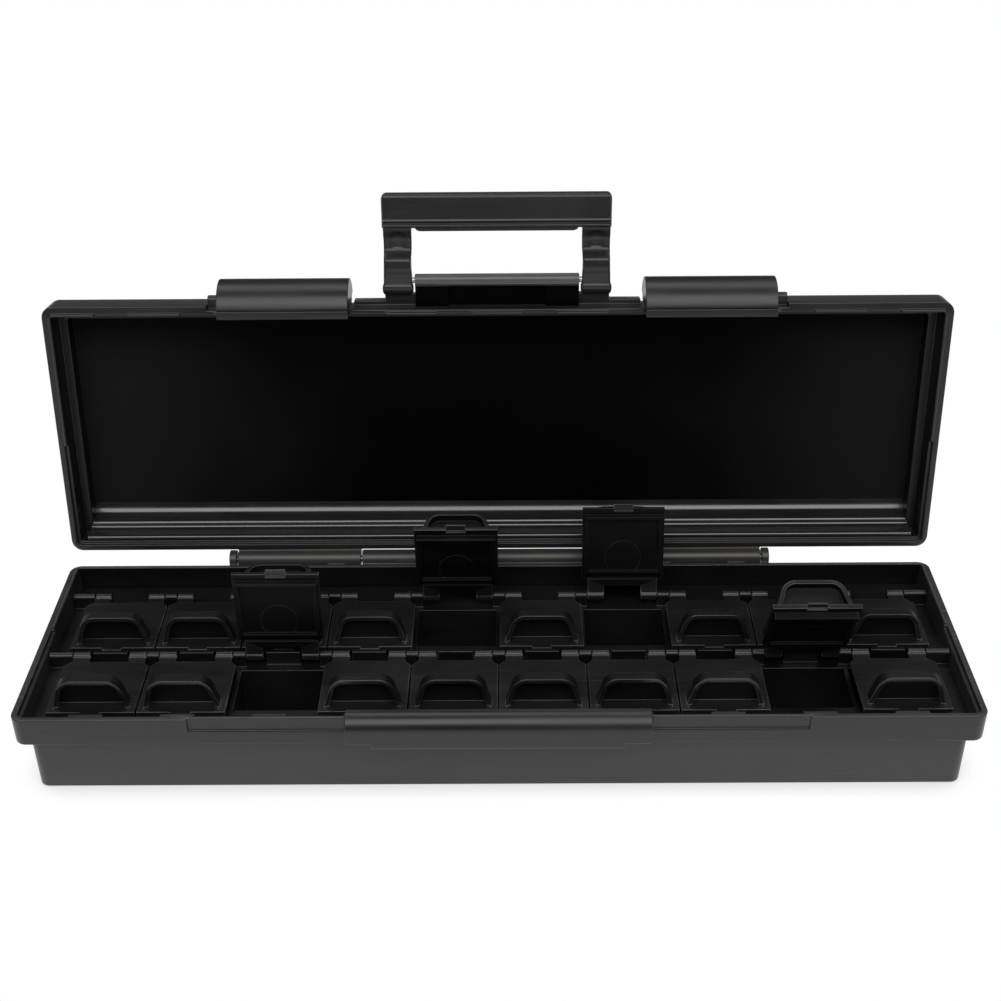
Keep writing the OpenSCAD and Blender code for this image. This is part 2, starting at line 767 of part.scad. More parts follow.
// The handle stands straight out from the front of the cover.
module handle_shape() {
    half = handle_w / 2;
    arm_in = half - arm_w;
    far_y = handle_y - handle_len;
    grip_y = far_y + grip_h;
    foot_r = arm_t / 2 + end_gap;
    difference() {
        union() {
            both_sides() {
                bar_x(arm_in, half + end_gap, handle_y, handle_z, foot_r);
                bar_x(arm_in, half + end_gap, handle_y + heel_back, handle_z, heel_r);
                block([arm_in, handle_y, handle_z - heel_r],
                    [half + end_gap, handle_y + heel_back, handle_z + heel_r]);
                block([arm_in, grip_y - over, handle_z - arm_t / 2],
                    [half, handle_y, handle_z + arm_t / 2]);
            }
            translate([0, (far_y + grip_y) / 2, handle_z - grip_t / 2]) linear_extrude(grip_t)
                round_rect(handle_w, grip_h, arm_t / 2);
            block([-grip_lip_w / 2, grip_y - over, handle_z - arm_t / 2],
                [grip_lip_w / 2, grip_y + grip_lip_h, handle_z + arm_t / 2]);
        }
        bar_x(-half - over, half - arm_t / 2, handle_y, handle_z, handle_pin_r + pivot_gap);
    }
}

module handle() {
    color(shell_colour) on_open_cover() handle_shape();
}

module handle_pin() {
    reach = handle_w / 2 - arm_t / 2 - end_gap;
    color(steel_colour) on_open_cover()
        bar_x(-reach, reach, handle_y, handle_z, handle_pin_r);
}

base_shell();
front_bins();
back_bins();
hinge_pin();
cover();
handle();
handle_pin();
latch_left();
latch_right();
latch_pin_left();
latch_pin_right();
lid(0, 1);  // lid_front_1
lid(0, 2);  // lid_front_2
lid(0, 3);  // lid_front_3
lid(0, 4);  // lid_front_4
lid(0, 5);  // lid_front_5
lid(0, 6);  // lid_front_6
lid(0, 7);  // lid_front_7
lid(0, 8);  // lid_front_8
lid(0, 9);  // lid_front_9
lid(0, 10);  // lid_front_10
lid(1, 1);  // lid_back_1
lid(1, 2);  // lid_back_2
lid(1, 3);  // lid_back_3
lid(1, 4);  // lid_back_4
lid(1, 5);  // lid_back_5
lid(1, 6);  // lid_back_6
lid(1, 7);  // lid_back_7
lid(1, 8);  // lid_back_8
lid(1, 9);  // lid_back_9
lid(1, 10);  // lid_back_10
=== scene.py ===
import bpy
import bmesh
import json
import math
from mathutils import Matrix, Vector


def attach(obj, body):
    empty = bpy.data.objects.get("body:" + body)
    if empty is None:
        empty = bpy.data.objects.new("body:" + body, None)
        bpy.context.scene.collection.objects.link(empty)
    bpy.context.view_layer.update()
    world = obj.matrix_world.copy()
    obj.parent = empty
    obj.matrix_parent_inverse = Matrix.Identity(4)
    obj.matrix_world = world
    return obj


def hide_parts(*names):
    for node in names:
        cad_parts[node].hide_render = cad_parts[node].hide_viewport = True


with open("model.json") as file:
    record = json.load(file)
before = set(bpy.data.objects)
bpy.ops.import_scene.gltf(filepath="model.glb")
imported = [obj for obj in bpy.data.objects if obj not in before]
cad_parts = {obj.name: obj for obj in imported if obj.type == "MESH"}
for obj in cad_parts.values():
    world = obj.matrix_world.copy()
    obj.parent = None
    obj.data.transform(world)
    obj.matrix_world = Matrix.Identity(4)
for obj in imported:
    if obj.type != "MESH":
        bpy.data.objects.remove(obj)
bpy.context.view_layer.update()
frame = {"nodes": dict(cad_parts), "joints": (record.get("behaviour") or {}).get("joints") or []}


# ---- Floor, lamps and camera ----
# A sweep of white paper in a white studio tent, with a softbox over the front of the case and one
# over its back. The paper looks evenly white, and keeps the shadow of the case where they meet.

def add(tree, kind, feeds=None, **settings):
    """Adds a shader node. Each feed is a plain value or the socket that drives the input."""
    node = tree.nodes.new(kind)
    for key, value in settings.items():
        setattr(node, key, value)
    for key, value in (feeds or {}).items():
        if isinstance(value, bpy.types.NodeSocket):
            tree.links.new(value, node.inputs[key])
        else:
            node.inputs[key].default_value = value
    return node


def maths(tree, operation, *feeds):
    """The result of a Math node with up to three feeds."""
    return add(tree, "ShaderNodeMath", dict(enumerate(feeds)), operation=operation).outputs[0]


def ramp(tree, value, start, end, low=0.0, high=1.0, smooth=False):
    """A value that goes from low to high as the one that it reads goes from start to end."""
    return add(tree, "ShaderNodeMapRange", {"Value": value, "From Min": start, "From Max": end,
                                            "To Min": low, "To Max": high},
               interpolation_type="SMOOTHSTEP" if smooth else "LINEAR").outputs[0]


def on_object(tree):
    """The place of a point on its own piece, in metres."""
    return add(tree, "ShaderNodeTexCoord").outputs["Object"]


def stretched(tree, place, scale, turn=(0.0, 0.0, 0.0)):
    """A place turned, then scaled by another number along each axis."""
    return add(tree, "ShaderNodeMapping", {"Vector": place, "Rotation": turn,
                                           "Scale": scale}).outputs[0]


def grey(value):
    return (value, value, value, 1.0)


# The paper lies a hair below the case, so that no two faces share a plane. Sizes are in metres.
paper_half = 3.0
paper_drop = 0.0002
paper_grey = 0.7
paper_roughness = 0.9
shadow_reach = 0.012

paper_corners = [(x * paper_half, y * paper_half, -paper_drop)
                 for x, y in ((-1, -1), (1, -1), (1, 1), (-1, 1))]
paper_mesh = bpy.data.meshes.new("paper")
paper_mesh.from_pydata(paper_corners, [], [(0, 1, 2, 3)])
paper = bpy.data.objects.new("paper", paper_mesh)
bpy.context.scene.collection.objects.link(paper)

# Seen straight or in a reflection, the paper is white by itself. In a reflection it is brightest
# next to the case, and to the eye it is darker only where it meets the case.
paper_look = bpy.data.materials.new("white paper")
paper_look.use_nodes = True
tree = paper_look.node_tree
lit_paper = tree.nodes["Principled BSDF"]
lit_paper.inputs["Base Color"].default_value = grey(paper_grey)
lit_paper.inputs["Roughness"].default_value = paper_roughness
contact = add(tree, "ShaderNodeAmbientOcclusion", {"Distance": shadow_reach}, samples=12)
shade = ramp(tree, contact.outputs["AO"], 0.45, 0.8, 0.72, 1.0)
around = stretched(tree, on_object(tree), (0.62, 1, 1))
away = add(tree, "ShaderNodeVectorMath", {0: around}, operation="LENGTH").outputs["Value"]
fall_off = ramp(tree, away, 0.09, 0.5, 1.1, 0.8, smooth=True)
path = add(tree, "ShaderNodeLightPath").outputs
through = maths(tree, "MAXIMUM", path["Is Camera Ray"], path["Is Transmission Ray"])
direct = maths(tree, "MAXIMUM", through, path["Is Glossy Ray"])
paper_light = add(tree, "ShaderNodeMix", {0: path["Is Glossy Ray"], 2: shade, 3: fall_off})
white_paper = add(tree, "ShaderNodeEmission", {"Color": grey(1.0),
                                               "Strength": paper_light.outputs[0]})
paper_mix = add(tree, "ShaderNodeMixShader", {0: direct, 1: lit_paper.outputs[0],
                                              2: white_paper.outputs[0]})
tree.links.new(paper_mix.outputs[0], tree.nodes["Material Output"].inputs["Surface"])
paper.data.materials.append(paper_look)

# The tent glows a little all round, more overhead and at both sides, and most behind the case.
# The camera sees it as plain white.
tent = bpy.data.worlds.new("studio tent")
bpy.context.scene.world = tent
tent.use_nodes = True
tree = tent.node_tree
every_way = add(tree, "ShaderNodeTexCoord").outputs["Generated"]
direction = add(tree, "ShaderNodeSeparateXYZ", {0: every_way}).outputs
sideways = maths(tree, "ABSOLUTE", direction["X"])
overhead = maths(tree, "MULTIPLY", ramp(tree, direction["Z"], 0.25, 0.9, high=0.6, smooth=True),
                 ramp(tree, direction["Y"], -0.8, -0.2, smooth=True))
sides = maths(tree, "MULTIPLY", ramp(tree, sideways, 0.5, 0.95, high=0.6, smooth=True),
              ramp(tree, direction["Z"], -0.1, 0.3, smooth=True))
behind = ramp(tree, direction["Y"], 0.15, 0.6, 0.4, 1.1, smooth=True)
glow = maths(tree, "ADD", maths(tree, "ADD", overhead, sides), behind)
tent_light = tree.nodes["Background"]
tree.links.new(glow, tent_light.inputs["Strength"])
tent_seen = add(tree, "ShaderNodeBackground", {"Color": grey(1.0), "Strength": 1.0})
camera_ray = add(tree, "ShaderNodeLightPath").outputs["Is Camera Ray"]
tent_mix = add(tree, "ShaderNodeMixShader", {0: camera_ray, 1: tent_light.outputs[0],
                                             2: tent_seen.outputs[0]})
tree.links.new(tent_mix.outputs[0], tree.nodes["World Output"].inputs["Surface"])


def softbox(name, place, width, height, watts):
    """A lamp behind a rectangle of white cloth, turned to the middle of the case."""
    light = bpy.data.lights.new(name, "AREA")
    light.shape = "RECTANGLE"
    light.size = width
    light.size_y = height
    light.energy = watts
    lamp = bpy.data.objects.new(name, light)
    lamp.location = place
    lamp.rotation_euler = (case_middle - Vector(place)).to_track_quat("-Z", "Y").to_euler()
    bpy.context.scene.collection.objects.link(lamp)


case_middle = Vector((0.0, 0.0, 0.04))
softbox("front softbox", (0.0, -0.56, 0.88), width=1.6, height=0.65, watts=9.5)
softbox("rear softbox", (0.0, 0.42, 0.97), width=1.7, height=0.4, watts=4.0)

# The camera stands before the case and looks down at it. The length of its lens, and the row that
# it points at, are in pixels of a square frame.
camera_place = Vector((0.002715, -0.360046, 0.286627))
camera_down = math.radians(35.6)
camera_left = math.radians(0.349)
camera_lean = math.radians(-0.48)
near_clip = 0.01
lens_px = 1540.0
frame_px = 1001
centre_row_px = 628.36
sensor_mm = 36.0

camera_data = bpy.data.cameras.new("camera")
camera_data.sensor_width = sensor_mm
camera_data.lens = lens_px / frame_px * sensor_mm
camera_data.shift_y = (centre_row_px - frame_px / 2) / frame_px
camera_data.clip_start = near_clip
camera = bpy.data.objects.new("camera", camera_data)
camera.location = camera_place
camera.rotation_euler = (Matrix.Rotation(camera_left, 3, "Z")
                         @ Matrix.Rotation(math.pi / 2 - camera_down, 3, "X")
                         @ Matrix.Rotation(camera_lean, 3, "Z")).to_euler()
bpy.context.scene.collection.objects.link(camera)
bpy.context.scene.camera = camera
bpy.context.scene.view_settings.view_transform = "Standard"


# ---- Base shell ----
# The tray of the case: one injection moulding of black ABS with a thick rim, a stepped-in wall,
# a round bar along the front and the fixed barrels of the rear hinge. Its outside is satin from
# the tool. Its barrels carry a warm painted highlight, its corners are painted pale as wear and
# painted highlights, and the top of its rim, its lower body and its inside are painted lighter or
# darker as painted light and shade.

# The script works in metres, and the case is measured in millimetres.
MM = 0.001


def shader_group(name, inputs, outputs):
    """A new node group, with the sockets that its nodes read from and the ones they feed."""
    group = bpy.data.node_groups.new(name, "ShaderNodeTree")
    for label, value in inputs.items():
        socket = group.interface.new_socket(label, in_out="INPUT", socket_type="NodeSocketFloat")
        socket.default_value = value
    for label in outputs:
        group.interface.new_socket(label, in_out="OUTPUT", socket_type="NodeSocketFloat")
    given = group.nodes.new("NodeGroupInput").outputs
    wanted = group.nodes.new("NodeGroupOutput").inputs
    return group, given, wanted


def noise(tree, place, scale, detail, roughness=0.5, distortion=0.0):
    return add(tree, "ShaderNodeTexNoise", {"Vector": place, "Scale": scale, "Detail": detail,
                                            "Roughness": roughness,
                                            "Distortion": distortion}).outputs[0]


def mix_colours(tree, amount, first, second):
    """Two colours mixed by an amount that varies. Each is a socket, or red, green and blue."""
    first, second = (colour if isinstance(colour, bpy.types.NodeSocket) else (*colour, 1)
                     for colour in (first, second))
    return add(tree, "ShaderNodeMix", {0: amount, 6: first, 7: second},
               data_type="RGBA").outputs[2]


# The skin of a moulding: the fine spark texture of the tool, soft flow marks in the gloss, and
# sharp corners painted pale, partly as wear and partly as painted highlights along the edges.
moulded_skin, given, wanted = shader_group(
    "moulded skin", {"Grain per metre": 2600.0, "Corner size": 0.3 * MM},
    ("Grain", "Flow", "Highlit and worn corners"))
place = on_object(moulded_skin)
spark = noise(moulded_skin, place, given["Grain per metre"], 2.0, roughness=0.6)
streaks = noise(moulded_skin, stretched(moulded_skin, place, (0.45, 1.0, 1.3)), 55.0, 5.0,
                roughness=0.62, distortion=0.6)
flow = ramp(moulded_skin, streaks, 0.32, 0.68)
rounded = add(moulded_skin, "ShaderNodeBevel", {"Radius": given["Corner size"]}, samples=4)
flat_normal = add(moulded_skin, "ShaderNodeNewGeometry").outputs["Normal"]
agree = add(moulded_skin, "ShaderNodeVectorMath", {0: rounded.outputs[0], 1: flat_normal},
            operation="DOT_PRODUCT").outputs["Value"]
corner = ramp(moulded_skin, agree, 0.995, 0.9)
highlit_worn_corner = maths(moulded_skin, "MULTIPLY", corner, flow)
for label, mask in (("Grain", spark), ("Flow", flow), ("Highlit and worn corners", highlit_worn_corner)):
    moulded_skin.links.new(mask, wanted[label])

# Handling marks: sparse hairline scuffs in two directions, and specks of dust.
handling, given, wanted = shader_group("handling marks", {"Amount": 0.5}, ("Scuffs", "Dust"))
place = on_object(handling)
scuffs = []
for turn in (0.35, 1.2):
    lines = stretched(handling, place, (30.0, 1400.0, 1400.0), (0.3, 0.4, turn))
    scuffs.append(ramp(handling, noise(handling, lines, 1.0, 1.0), 0.72, 0.80))
both = maths(handling, "MAXIMUM", *scuffs)
specks = add(handling, "ShaderNodeTexVoronoi", {"Vector": place, "Scale": 260.0})
speck = ramp(handling, specks.outputs["Distance"], 0.07, 0.03)
settled = ramp(handling, noise(handling, place, 45.0, 2.0), 0.5, 0.62)
dust = maths(handling, "MULTIPLY", speck, settled)
for label, mark in (("Scuffs", both), ("Dust", dust)):
    handling.links.new(maths(handling, "MULTIPLY", mark, given["Amount"]), wanted[label])

dust_colour = (0.16, 0.155, 0.15)
dust_height = 0.8
grain_deep = 0.02 * MM
scuff_paler = 2.2
scuff_lift = 0.01
scuff_dulls = 0.25
flow_polishes = 0.05
flow_dulls = 0.06


def black_plastic(name, dark, light, highlit_and_worn, gloss, roughness, grain, marks):
    """Black moulded plastic. dark and light are the colours between which its flow marks vary, and
    the pale colour of its corners is wear and a painted highlight.
    """
    look = bpy.data.materials.new(name)
    look.use_nodes = True
    tree = look.node_tree
    skin = add(tree, "ShaderNodeGroup", node_tree=moulded_skin).outputs
    touch = add(tree, "ShaderNodeGroup", {"Amount": marks}, node_tree=handling).outputs
    scuffed = [scuff_paler * part + scuff_lift for part in light]
    colour = mix_colours(tree, skin["Flow"], dark, light)
    # The corners are painted pale: wear, and painted highlights along the edges.
    colour = mix_colours(tree, skin["Highlit and worn corners"], colour, highlit_and_worn)
    colour = mix_colours(tree, touch["Scuffs"], colour, scuffed)
    colour = mix_colours(tree, touch["Dust"], colour, dust_colour)
    haze = ramp(tree, skin["Flow"], 0.0, 1.0, roughness - flow_polishes, roughness + flow_dulls)
    dull = maths(tree, "MULTIPLY_ADD", touch["Scuffs"], scuff_dulls, haze)
    height = maths(tree, "MULTIPLY_ADD", touch["Dust"], dust_height, skin["Grain"])
    bump = add(tree, "ShaderNodeBump", {"Height": height, "Strength": grain,
                                        "Distance": grain_deep})
    shader = tree.nodes["Principled BSDF"]
    tree.links.new(colour, shader.inputs["Base Color"])
    tree.links.new(dull, shader.inputs["Roughness"])
    tree.links.new(bump.outputs[0], shader.inputs["Normal"])
    shader.inputs["Specular IOR Level"].default_value = gloss
    return look


shell_black = black_plastic("satin black shell", dark=(0.012, 0.0116, 0.0118),
                            light=(0.019, 0.0183, 0.0186), highlit_and_worn=(0.08, 0.078, 0.079),
                            gloss=0.5, roughness=0.34, grain=0.5, marks=0.5)
# The inside of the tray is painted lighter than the outside of the shell: painted light.
tray_painted_light = black_plastic("black inside of the tray with painted light", dark=(0.020, 0.0194, 0.020),
                           light=(0.032, 0.031, 0.032), highlit_and_worn=(0.07, 0.068, 0.07),
                           gloss=0.4, roughness=0.42, grain=0.4, marks=0.2)
# The outer wall of the lower body is painted lighter than the rest of the shell: painted light.
body_painted_light = black_plastic("black lower body with painted light", dark=(0.028, 0.0272, 0.0276),
                           light=(0.042, 0.0408, 0.0414), highlit_and_worn=(0.09, 0.088, 0.089),
                           gloss=0.5, roughness=0.36, grain=0.5, marks=0.6)
# The back wall's inner face, which faces forward into the dark, is painted nearly black: painted
# shade.
tray_back_painted_shade = black_plastic("unlit back of the tray", dark=(0.003, 0.0029, 0.003),
                          light=(0.006, 0.0058, 0.006), highlit_and_worn=(0.07, 0.068, 0.07),
                          gloss=0.3, roughness=0.42, grain=0.4, marks=0.2)
# The top of the rim, facing the light from above, is painted lighter: painted light.
rim_top_painted_light = black_plastic("top of the rim with painted light", dark=(0.034, 0.033, 0.0335),
                          light=(0.052, 0.050, 0.051), highlit_and_worn=(0.12, 0.117, 0.118),
                          gloss=0.5, roughness=0.34, grain=0.5, marks=1.0)
# The barrels are painted lighter and warmer than the shell: a warm painted highlight.
barrel_painted_highlight = black_plastic("black barrels with a warm painted highlight", dark=(0.030, 0.027, 0.022),
                             light=(0.044, 0.040, 0.033), highlit_and_worn=(0.12, 0.11, 0.10),
                             gloss=0.6, roughness=0.38, grain=0.6, marks=1.0)

# The hinge line lies behind the back wall, level with the top of the rim.
joints = {joint["child"]: joint for joint in frame["joints"]}
hinge_back, rim_top = joints["cover"]["pos_m"][1:]
barrel_reach = 3.1 * MM

# Half the width and half the depth, outside the rim and inside the tray, and the small heights
# and margins by which faces of the rim, the underside and the front are told apart.
rim_half = Vector((132.0, 38.0)) * MM
tray_half = Vector((129.2, 35.2)) * MM
rim_deep = 1.0 * MM
underside = 1.0 * MM
past_front = -rim_half.y - 0.1 * MM
margin = 0.05 * MM

# A face is on the outer wall of the lower body where it looks away from the middle of the case
# and lies further than this from it. It looks straight up, or partly forward, where that part of
# its normal is more than the other two.
outer_wall = 20.0 * MM
straight = 0.9
partly = 0.5

# A mould copies a node's mesh. Points closer than weld_gap become one, faces that meet at less
# than flat_deg become one, and edges sharper than sharp_deg are rounded.
weld_gap = 0.001 * MM
flat_deg = 0.5
sharp_deg = 28.0
corner_steps = 2


def even_shading(piece):
    """Shades each large face flat and lets the small round ones blend between them."""
    even = piece.modifiers.new("even shading", "WEIGHTED_NORMAL")
    even.mode = "FACE_AREA"
    even.weight = 100
    even.keep_sharp = True


def add_piece(name, mould, looks, body):
    """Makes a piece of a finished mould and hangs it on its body."""
    mesh = bpy.data.meshes.new(name)
    mould.to_mesh(mesh)
    mould.free()
    for look in looks:
        mesh.materials.append(look)
    piece = bpy.data.objects.new(name, mesh)
    bpy.context.scene.collection.objects.link(piece)
    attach(piece, body)
    return piece


def moulding(node, body, looks, choose, corner):
    """A node as it leaves the mould, with round corners and the look that choose gives each face."""
    mould = bmesh.new()
    mould.from_mesh(frame["nodes"][node].data)
    bmesh.ops.remove_doubles(mould, verts=mould.verts, dist=weld_gap)
    bmesh.ops.dissolve_limit(mould, angle_limit=math.radians(flat_deg), verts=mould.verts,
                             edges=mould.edges)
    # A face with many corners would be filled wrongly once its edges are round.
    bmesh.ops.triangulate(mould, faces=[face for face in mould.faces if len(face.verts) > 4])
    for face in mould.faces:
        face.smooth = True
        face.material_index = looks.index(choose(face.calc_center_median(), face.normal))
    piece = add_piece(node + "_moulding", mould, looks, body)
    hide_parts(node)
    round_edges = piece.modifiers.new("round edges", "BEVEL")
    round_edges.limit_method = "ANGLE"
    round_edges.angle_limit = math.radians(sharp_deg)
    round_edges.width = corner
    round_edges.segments = corner_steps
    round_edges.use_clamp_overlap = False
    round_edges.loop_slide = False
    even_shading(piece)


def on_barrel(at):
    return math.hypot(at.y - hinge_back, at.z - rim_top) < barrel_reach


def base_look(at, out):
    """The look of a face of the base, from its middle and the way that it faces."""
    if on_barrel(at):
        return barrel_painted_highlight
    # The top of the rim: painted light.
    if out.z > straight and at.z > rim_top - rim_deep and at.y > past_front:
        return rim_top_painted_light
    within_tray = abs(at.x) < tray_half.x + margin and abs(at.y) < tray_half.y + margin
    if not within_tray or at.z < underside:
        return shell_black
    # The outer wall of the lower body: painted light.
    if at.x * out.x + at.y * out.y > outer_wall:
        return body_painted_light
    # The back wall's inner face gets painted shade, and the rest of the inside painted light.
    return tray_back_painted_shade if out.y < -partly else tray_painted_light


moulding("base_shell", "base",
         (shell_black, tray_painted_light, barrel_painted_highlight, rim_top_painted_light, tray_back_painted_shade, body_painted_light),
         base_look, corner=0.3 * MM)


# ---- Pins ----
# Short lengths of drawn steel wire, pushed through the barrels, the lugs and the feet of the
# handle. Only their cut ends and the gaps between barrels show.

wire_dark = (0.42, 0.42, 0.44)
wire_light = (0.66, 0.66, 0.68)
lines_per_metre = (60.0, 5000.0, 5000.0)
line_deep = 0.01 * MM

steel = bpy.data.materials.new("drawn steel wire")
steel.use_nodes = True
tree = steel.node_tree
draw_lines = noise(tree, stretched(tree, on_object(tree), lines_per_metre), 1.0, 3.0)
tint = mix_colours(tree, draw_lines, wire_dark, wire_light)
polish = ramp(tree, draw_lines, 0.0, 1.0, low=0.25, high=0.45)
scored = add(tree, "ShaderNodeBump", {"Height": draw_lines, "Strength": 0.4,
                                      "Distance": line_deep})
shader = tree.nodes["Principled BSDF"]
tree.links.new(tint, shader.inputs["Base Color"])
tree.links.new(polish, shader.inputs["Roughness"])
tree.links.new(scored.outputs[0], shader.inputs["Normal"])
shader.inputs["Metallic"].default_value = 1.0
for node in ("hinge_pin", "handle_pin", "latch_pin_left", "latch_pin_right"):
    for wire_slot in frame["nodes"][node].material_slots:
        wire_slot.material = steel


# ---- Strips of bins ----
# Two strips, each a row of ten deep bins under one deck, moulded in the same black plastic as the
# shell with posts that carry the lids. They are pressed into the base, and hardly lit inside. They
# are painted darker than the shell, the deck most of all, as painted shade.

# The deck is painted much darker than the shell, and the insides of the bins a little less dark:
# painted shade.
bins_painted_shade = black_plastic("black bins with painted shade", dark=(0.004, 0.0038, 0.004),
                          light=(0.0075, 0.0072, 0.0075), highlit_and_worn=(0.07, 0.067, 0.07),
                          gloss=0.5, roughness=0.33, grain=0.4, marks=0.3)
bin_insides_painted_shade = black_plastic("black insides of the bins with painted shade", dark=(0.005, 0.0047, 0.005),
                           light=(0.009, 0.0085, 0.009), highlit_and_worn=(0.05, 0.048, 0.05),
                           gloss=0.3, roughness=0.45, grain=0.4, marks=0.3)
deck_bottom = 18.7 * MM


def bin_look(at, out):
    return bin_insides_painted_shade if at.z < deck_bottom else bins_painted_shade


for node in ("front_bins", "back_bins"):
    moulding(node, "base", (bins_painted_shade, bin_insides_painted_shade), bin_look, corner=0.2 * MM)


# ---- Lids ----
# Each bin has a thin lid with a finger hood on top. It is moulded in one piece, snaps between two
# posts of the deck on its pivot stubs, and has a rib under its front edge.

# The corners of the lids are painted very pale: painted highlights along their edges.
lid_black = black_plastic("black lids", dark=(0.008, 0.0077, 0.0079),
                          light=(0.014, 0.0135, 0.0138), highlit_and_worn=(0.22, 0.215, 0.218),
                          gloss=0.5, roughness=0.30, grain=0.4, marks=0.3)
# The underside of a lid is painted darker than its top: painted shade.
lid_under_painted_shade = black_plastic("dull underside of the lids with painted shade", dark=(0.0025, 0.0024, 0.0024),
                                light=(0.005, 0.0048, 0.0049), highlit_and_worn=(0.05, 0.048, 0.049),
                                gloss=0.15, roughness=0.40, grain=0.4, marks=0.3)
# The inside of a hood is painted darker than the top of the lid: painted shade.
hood_inside_painted_shade = black_plastic("dull inside of the hoods with painted shade", dark=(0.005, 0.0047, 0.0048),
                            light=(0.009, 0.0084, 0.0086), highlit_and_worn=(0.04, 0.038, 0.039),
                            gloss=0.2, roughness=0.45, grain=0.4, marks=0.3)
bins_in_row = 10

# Places on a lid are measured from the middle of its hinge line, with the lid lying flat.
lid_under = -0.3 * MM
lid_top = 1.2 * MM
neck_end = -4.0 * MM
hood_mouth_x = 9.4 * MM
hood_front = -25.05 * MM
hood_deep = 2.4 * MM
hood_sill = 0.3 * MM
ring_middle = Vector((0.0, -12.0 * MM, lid_under))
ring_radius = 5.3 * MM
ring_steps = 36
bead_half = 0.12 * MM
bead_rise = 0.06 * MM
bead_sides = 4
pip_radius = 0.4 * MM
pip_places = [Vector((side * 10.2 * MM, -26.0 * MM, lid_top)) for side in (-1, 1)]


def lid_look(at, out):
    """The look of a face of a lid, from its place and direction on the lid lying flat."""
    # The underside: painted shade.
    if at.z < lid_under + margin and at.y < neck_end:
        return lid_under_painted_shade
    # The inside of the hood's mouth: painted shade.
    in_mouth = abs(at.x) < hood_mouth_x and hood_front < at.y < hood_front + hood_deep
    if in_mouth and at.z > lid_top + hood_sill and out.z < straight:
        return hood_inside_painted_shade
    return lid_black


def raised_ring(mesh, to_place):
    """The witness ring that an ejector pin leaves under a lid: a very low bead."""
    loops = []
    for k in range(ring_steps):
        turn = 2 * math.pi * k / ring_steps
        out = Vector((math.cos(turn), math.sin(turn), 0))
        loop = []
        for j in range(bead_sides):
            bead_turn = 2 * math.pi * j / bead_sides
            rise = Vector((0, 0, bead_rise * math.sin(bead_turn)))
            reach = ring_radius + bead_half * math.cos(bead_turn)
            loop.append(mesh.verts.new(to_place @ (ring_middle + out * reach + rise)))
        loops.append(loop)
    for k in range(ring_steps):
        here, there = loops[k], loops[(k + 1) % ring_steps]
        for j in range(bead_sides):
            nxt = (j + 1) % bead_sides
            mesh.faces.new((here[j], there[j], there[nxt], here[nxt]))


def pip(mesh, centre, to_place):
    """A small round pip left by the mould."""
    made = bmesh.ops.create_uvsphere(mesh, u_segments=12, v_segments=8, radius=pip_radius)
    for vert in made["verts"]:
        vert.co = to_place @ (vert.co + centre)


for row in ("front", "back"):
    for col in range(1, bins_in_row + 1):
        node = f"lid_{row}_{col}"
        leaning = math.radians(joints[node]["range_deg"][0])
        hinge = Matrix.Translation(joints[node]["pos_m"]) @ Matrix.Rotation(leaning, 4, "X")
        to_flat = hinge.inverted()
        turn_flat = to_flat.to_3x3()
        moulding(node, node, (lid_black, lid_under_painted_shade, hood_inside_painted_shade),
                 lambda at, out: lid_look(to_flat @ at, turn_flat @ out), corner=0.18 * MM)
        # The ring is as dull as the underside that it is on and has its painted shade, and the pips
        # are like the top.
        marks = bmesh.new()
        raised_ring(marks, hinge)
        ring_faces = len(marks.faces)
        for pip_place in pip_places:
            pip(marks, pip_place, hinge)
        for k, face in enumerate(marks.faces):
            face.smooth = True
            face.material_index = int(k < ring_faces)
        add_piece(node + "_marks", marks, (lid_black, lid_under_painted_shade), node)


# ---- Cover ----
# The raised cover, moulded like the tray and hung on the rear pin. Its outside is satin, and its
# deep inside is matt and almost unlit, with painted shade on its inside and its walls. Its barrels
# carry a warm painted highlight like those of the base, and the bar of the handle a paler one.

# The inside of the cover and the web under the bar of the handle are painted nearly black: painted
# shade.
cover_painted_shade = black_plastic("matt black inside of the cover with painted shade", dark=(0.0006, 0.0006, 0.0006),
                            light=(0.0015, 0.0014, 0.0015), highlit_and_worn=(0.012, 0.012, 0.012),
                            gloss=0.03, roughness=0.5, grain=0.3, marks=0.1)
# The walls inside the cover are painted darker than its outside: painted shade.
wall_painted_shade = black_plastic("black walls of the cover", dark=(0.006, 0.0058, 0.006),
                           light=(0.010, 0.0097, 0.010), highlit_and_worn=(0.06, 0.058, 0.06),
                           gloss=0.4, roughness=0.36, grain=0.4, marks=0.3)
# The bar that carries the handle is painted much paler than the shell: a painted highlight.
bar_painted_highlight = black_plastic("black bar of the handle with a painted highlight", dark=(0.075, 0.073, 0.072),
                          light=(0.105, 0.102, 0.100), highlit_and_worn=(0.18, 0.175, 0.17),
                          gloss=0.6, roughness=0.34, grain=0.6, marks=1.0)
# The inner edge is glossy, and its colour is painted a little paler than the walls: a painted
# highlight.
edge_painted_highlight = black_plastic("polished inner edge of the cover with a painted highlight", dark=(0.012, 0.0116, 0.0116),
                           light=(0.022, 0.0212, 0.0212), highlit_and_worn=(0.10, 0.098, 0.098),
                           gloss=1.0, roughness=0.2, grain=0.25, marks=0.3)

